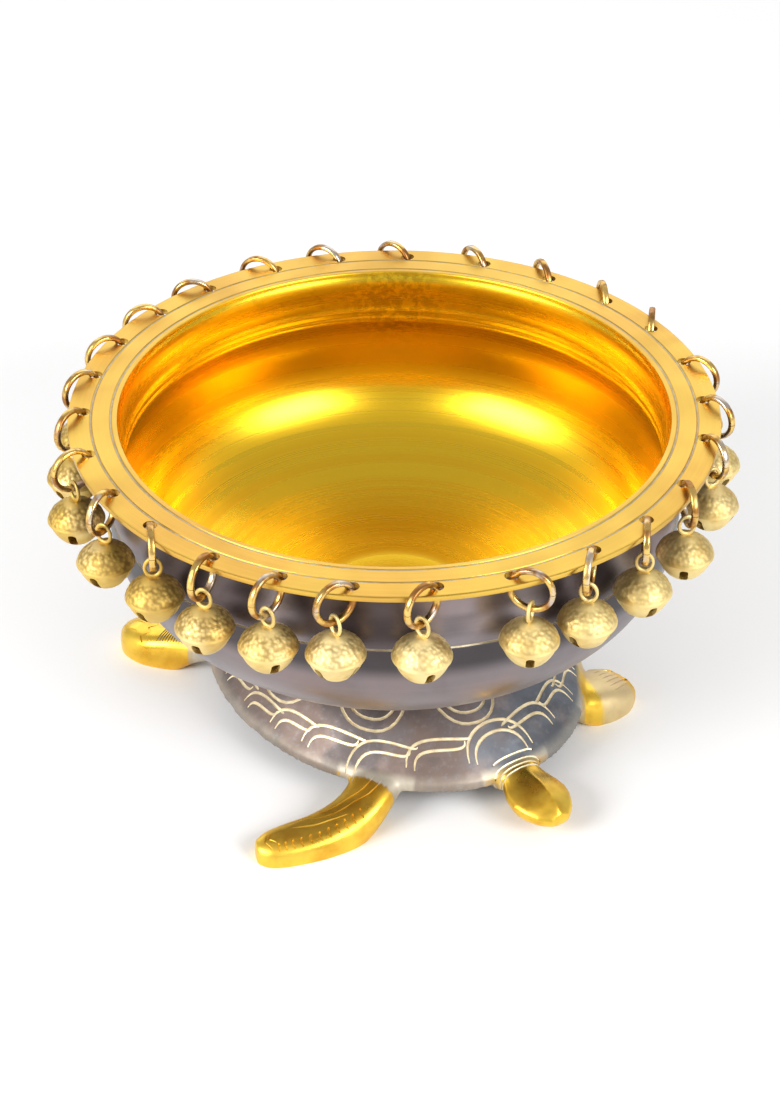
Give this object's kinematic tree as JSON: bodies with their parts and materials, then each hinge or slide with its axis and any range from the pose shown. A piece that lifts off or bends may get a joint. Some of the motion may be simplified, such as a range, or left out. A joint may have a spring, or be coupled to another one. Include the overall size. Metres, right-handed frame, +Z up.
{
  "type": "urli bowl",
  "caption": "Brass urli bowl with a wide flat rim hung with jump rings and small hollow bells, bolted on a cast tortoise that stands on its flippers.",
  "frame": {"origin": "on the ground under the bowl's axis", "axes": "+Z up along the bowl's axis; -Y the way the tortoise looks; +X to the tortoise's left"},
  "size_m": [0.1947, 0.193, 0.1003],
  "materials": {
    "polished_brass": "turned and polished, warm gold",
    "darkened_brass": "grey-brown patina, rubbed back to gold on the feet and head",
    "wire_brass": "flattened wire, unevenly tarnished",
    "bell_brass": "satin, pale gold",
    "fastener_steel": "plated, satin"
  },
  "bodies": {
    "bowl_on_stand": {"bowl": "polished_brass", "tortoise_stand": "darkened_brass", "centre_bolt": "fastener_steel", "bolt_nut": "fastener_steel"},
    "ring_01": {"ring_01": "wire_brass"},
    "ring_02": {"ring_02": "wire_brass"},
    "ring_03": {"ring_03": "wire_brass"},
    "ring_04": {"ring_04": "wire_brass"},
    "ring_05": {"ring_05": "wire_brass"},
    "ring_06": {"ring_06": "wire_brass"},
    "ring_07": {"ring_07": "wire_brass"},
    "ring_08": {"ring_08": "wire_brass"},
    "ring_09": {"ring_09": "wire_brass"},
    "ring_10": {"ring_10": "wire_brass"},
    "ring_11": {"ring_11": "wire_brass"},
    "ring_12": {"ring_12": "wire_brass"},
    "ring_13": {"ring_13": "wire_brass"},
    "ring_14": {"ring_14": "wire_brass"},
    "ring_15": {"ring_15": "wire_brass"},
    "ring_16": {"ring_16": "wire_brass"},
    "ring_17": {"ring_17": "wire_brass"},
    "ring_18": {"ring_18": "wire_brass"},
    "ring_19": {"ring_19": "wire_brass"},
    "ring_20": {"ring_20": "wire_brass"},
    "ring_21": {"ring_21": "wire_brass"},
    "ring_22": {"ring_22": "wire_brass"},
    "ring_23": {"ring_23": "wire_brass"},
    "ring_24": {"ring_24": "wire_brass"},
    "ring_25": {"ring_25": "wire_brass"},
    "ring_26": {"ring_26": "wire_brass"},
    "bell_01": {"bell_01": "bell_brass"},
    "bell_02": {"bell_02": "bell_brass"},
    "bell_03": {"bell_03": "bell_brass"},
    "bell_04": {"bell_04": "bell_brass"},
    "bell_05": {"bell_05": "bell_brass"},
    "bell_06": {"bell_06": "bell_brass"},
    "bell_07": {"bell_07": "bell_brass"},
    "bell_08": {"bell_08": "bell_brass"},
    "bell_09": {"bell_09": "bell_brass"},
    "bell_10": {"bell_10": "bell_brass"},
    "bell_11": {"bell_11": "bell_brass"},
    "bell_12": {"bell_12": "bell_brass"},
    "bell_13": {"bell_13": "bell_brass"},
    "bell_14": {"bell_14": "bell_brass"},
    "bell_15": {"bell_15": "bell_brass"},
    "bell_16": {"bell_16": "bell_brass"},
    "bell_17": {"bell_17": "bell_brass"},
    "bell_18": {"bell_18": "bell_brass"},
    "bell_19": {"bell_19": "bell_brass"},
    "bell_20": {"bell_20": "bell_brass"},
    "bell_21": {"bell_21": "bell_brass"},
    "bell_22": {"bell_22": "bell_brass"},
    "bell_23": {"bell_23": "bell_brass"},
    "bell_24": {"bell_24": "bell_brass"},
    "bell_25": {"bell_25": "bell_brass"},
    "bell_26": {"bell_26": "bell_brass"}
  },
  "joints": [
    {"name": "ring_01_roll", "type": "hinge", "parent": "bowl_on_stand", "child": "ring_01", "pos_m": [-0.07841, 0.04232, 0.09388], "axis": [-0.3584, 0.9336, 0], "range_deg": [-4, 26]},
    {"name": "bell_01_rock", "type": "hinge", "parent": "ring_01", "child": "bell_01", "pos_m": [-0.07841, 0.04232, 0.08818], "axis": [0.9336, 0.3584, 0], "range_deg": [-7, 35]},
    {"name": "ring_02_roll", "type": "hinge", "parent": "bowl_on_stand", "child": "ring_02", "pos_m": [-0.08748, 0.02398, 0.09388], "axis": [-0.0619, 0.9981, 0], "range_deg": [-10, 35]},
    {"name": "bell_02_rock", "type": "hinge", "parent": "ring_02", "child": "bell_02", "pos_m": [-0.08748, 0.02398, 0.08818], "axis": [0.9981, 0.0619, 0], "range_deg": [-17, 31.5]},
    {"name": "ring_03_roll", "type": "hinge", "parent": "bowl_on_stand", "child": "ring_03", "pos_m": [-0.09033, 0.00167, 0.09388], "axis": [-0.4585, 0.8887, 0], "range_deg": [-7.5, 35]},
    {"name": "bell_03_rock", "type": "hinge", "parent": "ring_03", "child": "bell_03", "pos_m": [-0.09033, 0.00167, 0.08818], "axis": [0.8887, 0.4585, 0], "range_deg": [-15, 35]},
    {"name": "ring_04_roll", "type": "hinge", "parent": "bowl_on_stand", "child": "ring_04", "pos_m": [-0.0869, -0.01903, 0.09388], "axis": [-0.896, 0.444, 0], "range_deg": [-4, 16.5]},
    {"name": "bell_04_rock", "type": "hinge", "parent": "ring_04", "child": "bell_04", "pos_m": [-0.0869, -0.01903, 0.08818], "axis": [0.444, 0.896, 0], "range_deg": [-6, 35]},
    {"name": "ring_05_roll", "type": "hinge", "parent": "bowl_on_stand", "child": "ring_05", "pos_m": [-0.08268, -0.03798, 0.09388], "axis": [-0.4907, 0.8713, 0], "range_deg": [-7.5, 35]},
    {"name": "bell_05_rock", "type": "hinge", "parent": "ring_05", "child": "bell_05", "pos_m": [-0.08268, -0.03798, 0.08818], "axis": [0.8713, 0.4907, 0], "range_deg": [-7, 19.5]},
    {"name": "ring_06_roll", "type": "hinge", "parent": "bowl_on_stand", "child": "ring_06", "pos_m": [-0.0731, -0.05371, 0.09388], "axis": [-0.2996, 0.9541, 0], "range_deg": [-5.5, 35]},
    {"name": "bell_06_rock", "type": "hinge", "parent": "ring_06", "child": "bell_06", "pos_m": [-0.0731, -0.05371, 0.08818], "axis": [-0.9541, -0.2996, 0], "range_deg": [-7, 8.5]},
    {"name": "ring_07_roll", "type": "hinge", "parent": "bowl_on_stand", "child": "ring_07", "pos_m": [-0.0605, -0.06578, 0.09388], "axis": [-0.0328, 0.9995, 0], "range_deg": [-6, 7]},
    {"name": "bell_07_rock", "type": "hinge", "parent": "ring_07", "child": "bell_07", "pos_m": [-0.0605, -0.06578, 0.08818], "axis": [-0.9995, -0.0328, 0], "range_deg": [-6, 35]},
    {"name": "ring_08_roll", "type": "hinge", "parent": "bowl_on_stand", "child": "ring_08", "pos_m": [-0.04263, -0.07839, 0.09388], "axis": [-0.2423, 0.9702, 0], "range_deg": [-3.5, 35]},
    {"name": "bell_08_rock", "type": "hinge", "parent": "ring_08", "child": "bell_08", "pos_m": [-0.04263, -0.07839, 0.08818], "axis": [-0.9702, -0.2423, 0], "range_deg": [-8.5, 35]},
    {"name": "ring_09_roll", "type": "hinge", "parent": "bowl_on_stand", "child": "ring_09", "pos_m": [-0.01606, -0.08778, 0.09388], "axis": [-0.7979, -0.6028, 0], "range_deg": [-6, 6.5]},
    {"name": "bell_09_rock", "type": "hinge", "parent": "ring_09", "child": "bell_09", "pos_m": [-0.01606, -0.08778, 0.08818], "axis": [-0.6028, 0.7979, 0], "range_deg": [-5, 35]},
    {"name": "ring_10_roll", "type": "hinge", "parent": "bowl_on_stand", "child": "ring_10", "pos_m": [0.00117, -0.08923, 0.09388], "axis": [-0.686, 0.7276, 0], "range_deg": [-6, 6.5]},
    {"name": "bell_10_rock", "type": "hinge", "parent": "ring_10", "child": "bell_10", "pos_m": [0.00117, -0.08923, 0.08818], "axis": [-0.7276, -0.686, 0], "range_deg": [-5, 35]},
    {"name": "ring_11_roll", "type": "hinge", "parent": "bowl_on_stand", "child": "ring_11", "pos_m": [0.02129, -0.08638, 0.09388], "axis": [-0.794, 0.6079, 0], "range_deg": [-4, 26.5]},
    {"name": "bell_11_rock", "type": "hinge", "parent": "ring_11", "child": "bell_11", "pos_m": [0.02129, -0.08638, 0.08818], "axis": [-0.6079, -0.794, 0], "range_deg": [-6, 35]},
    {"name": "ring_12_roll", "type": "hinge", "parent": "bowl_on_stand", "child": "ring_12", "pos_m": [0.0411, -0.07906, 0.09388], "axis": [-0.9279, 0.3729, 0], "range_deg": [-4, 35]},
    {"name": "bell_12_rock", "type": "hinge", "parent": "ring_12", "child": "bell_12", "pos_m": [0.0411, -0.07906, 0.08818], "axis": [-0.3729, -0.9279, 0], "range_deg": [-7, 35]},
    {"name": "ring_13_roll", "type": "hinge", "parent": "bowl_on_stand", "child": "ring_13", "pos_m": [0.06124, -0.06472, 0.09388], "axis": [-0.9946, 0.1036, 0], "range_deg": [-4, 35]},
    {"name": "bell_13_rock", "type": "hinge", "parent": "ring_13", "child": "bell_13", "pos_m": [0.06124, -0.06472, 0.08818], "axis": [-0.1036, -0.9946, 0], "range_deg": [-7, 35]},
    {"name": "ring_14_roll", "type": "hinge", "parent": "bowl_on_stand", "child": "ring_14", "pos_m": [0.07453, -0.04907, 0.09388], "axis": [-0.9871, -0.1599, 0], "range_deg": [-3.5, 35]},
    {"name": "bell_14_rock", "type": "hinge", "parent": "ring_14", "child": "bell_14", "pos_m": [0.07453, -0.04907, 0.08818], "axis": [0.1599, -0.9871, 0], "range_deg": [-8.5, 35]},
    {"name": "ring_15_roll", "type": "hinge", "parent": "bowl_on_stand", "child": "ring_15", "pos_m": [0.08404, -0.02959, 0.09388], "axis": [-0.932, -0.3624, 0], "range_deg": [-4, 35]},
    {"name": "bell_15_rock", "type": "hinge", "parent": "ring_15", "child": "bell_15", "pos_m": [0.08404, -0.02959, 0.08818], "axis": [0.3624, -0.932, 0], "range_deg": [-7, 35]},
    {"name": "ring_16_roll", "type": "hinge", "parent": "bowl_on_stand", "child": "ring_16", "pos_m": [0.08896, -0.00092, 0.09388], "axis": [0.7738, -0.6335, 0], "range_deg": [-4, 34]},
    {"name": "bell_16_rock", "type": "hinge", "parent": "ring_16", "child": "bell_16", "pos_m": [0.08896, -0.00092, 0.08818], "axis": [-0.6335, -0.7738, 0], "range_deg": [-6, 35]},
    {"name": "ring_17_roll", "type": "hinge", "parent": "bowl_on_stand", "child": "ring_17", "pos_m": [0.08673, 0.01979, 0.09388], "axis": [0.8999, -0.4362, 0], "range_deg": [-4, 35]},
    {"name": "bell_17_rock", "type": "hinge", "parent": "ring_17", "child": "bell_17", "pos_m": [0.08673, 0.01979, 0.08818], "axis": [-0.4362, -0.8999, 0], "range_deg": [-6, 35]},
    {"name": "ring_18_roll", "type": "hinge", "parent": "bowl_on_stand", "child": "ring_18", "pos_m": [0.07951, 0.04021, 0.09388], "axis": [0.9711, -0.2388, 0], "range_deg": [-4, 35]},
    {"name": "bell_18_rock", "type": "hinge", "parent": "ring_18", "child": "bell_18", "pos_m": [0.07951, 0.04021, 0.08818], "axis": [-0.2388, -0.9711, 0], "range_deg": [-7, 35]},
    {"name": "ring_19_roll", "type": "hinge", "parent": "bowl_on_stand", "child": "ring_19", "pos_m": [0.06717, 0.05854, 0.09388], "axis": [1, 0.0075, 0], "range_deg": [-4, 35]},
    {"name": "bell_19_rock", "type": "hinge", "parent": "ring_19", "child": "bell_19", "pos_m": [0.06717, 0.05854, 0.08818], "axis": [0.0075, -1, 0], "range_deg": [-7, 35]},
    {"name": "ring_20_roll", "type": "hinge", "parent": "bowl_on_stand", "child": "ring_20", "pos_m": [0.04859, 0.07452, 0.09388], "axis": [0.9501, 0.312, 0], "range_deg": [-4, 35]},
    {"name": "bell_20_rock", "type": "hinge", "parent": "ring_20", "child": "bell_20", "pos_m": [0.04859, 0.07452, 0.08818], "axis": [0.312, -0.9501, 0], "range_deg": [-6, 35]},
    {"name": "ring_21_roll", "type": "hinge", "parent": "bowl_on_stand", "child": "ring_21", "pos_m": [0.02952, 0.08421, 0.09388], "axis": [0.8819, 0.4714, 0], "range_deg": [-3.5, 35]},
    {"name": "bell_21_rock", "type": "hinge", "parent": "ring_21", "child": "bell_21", "pos_m": [0.02952, 0.08421, 0.08818], "axis": [0.4714, -0.8819, 0], "range_deg": [-8.5, 35]},
    {"name": "ring_22_roll", "type": "hinge", "parent": "bowl_on_stand", "child": "ring_22", "pos_m": [0.00942, 0.08887, 0.09388], "axis": [0.772, 0.6357, 0], "range_deg": [-4, 35]},
    {"name": "bell_22_rock", "type": "hinge", "parent": "ring_22", "child": "bell_22", "pos_m": [0.00942, 0.08887, 0.08818], "axis": [0.6357, -0.772, 0], "range_deg": [-10, 35]},
    {"name": "ring_23_roll", "type": "hinge", "parent": "bowl_on_stand", "child": "ring_23", "pos_m": [-0.01442, 0.08778, 0.09388], "axis": [0.4907, 0.8713, 0], "range_deg": [-4, 26]},
    {"name": "bell_23_rock", "type": "hinge", "parent": "ring_23", "child": "bell_23", "pos_m": [-0.01442, 0.08778, 0.08818], "axis": [0.8713, -0.4907, 0], "range_deg": [-6, 35]},
    {"name": "ring_24_roll", "type": "hinge", "parent": "bowl_on_stand", "child": "ring_24", "pos_m": [-0.03387, 0.08226, 0.09388], "axis": [0.2813, 0.9596, 0], "range_deg": [-4, 29.5]},
    {"name": "bell_24_rock", "type": "hinge", "parent": "ring_24", "child": "bell_24", "pos_m": [-0.03387, 0.08226, 0.08818], "axis": [0.9596, -0.2813, 0], "range_deg": [-6, 35]},
    {"name": "ring_25_roll", "type": "hinge", "parent": "bowl_on_stand", "child": "ring_25", "pos_m": [-0.05181, 0.07231, 0.09388], "axis": [0.0539, 0.9985, 0], "range_deg": [-4, 23]},
    {"name": "bell_25_rock", "type": "hinge", "parent": "ring_25", "child": "bell_25", "pos_m": [-0.05181, 0.07231, 0.08818], "axis": [0.9985, -0.0539, 0], "range_deg": [-6, 35]},
    {"name": "ring_26_roll", "type": "hinge", "parent": "bowl_on_stand", "child": "ring_26", "pos_m": [-0.06659, 0.05898, 0.09388], "axis": [-0.1694, 0.9855, 0], "range_deg": [-4, 28]},
    {"name": "bell_26_rock", "type": "hinge", "parent": "ring_26", "child": "bell_26", "pos_m": [-0.06659, 0.05898, 0.08818], "axis": [0.9855, 0.1694, 0], "range_deg": [-6, 35]}
  ]
}
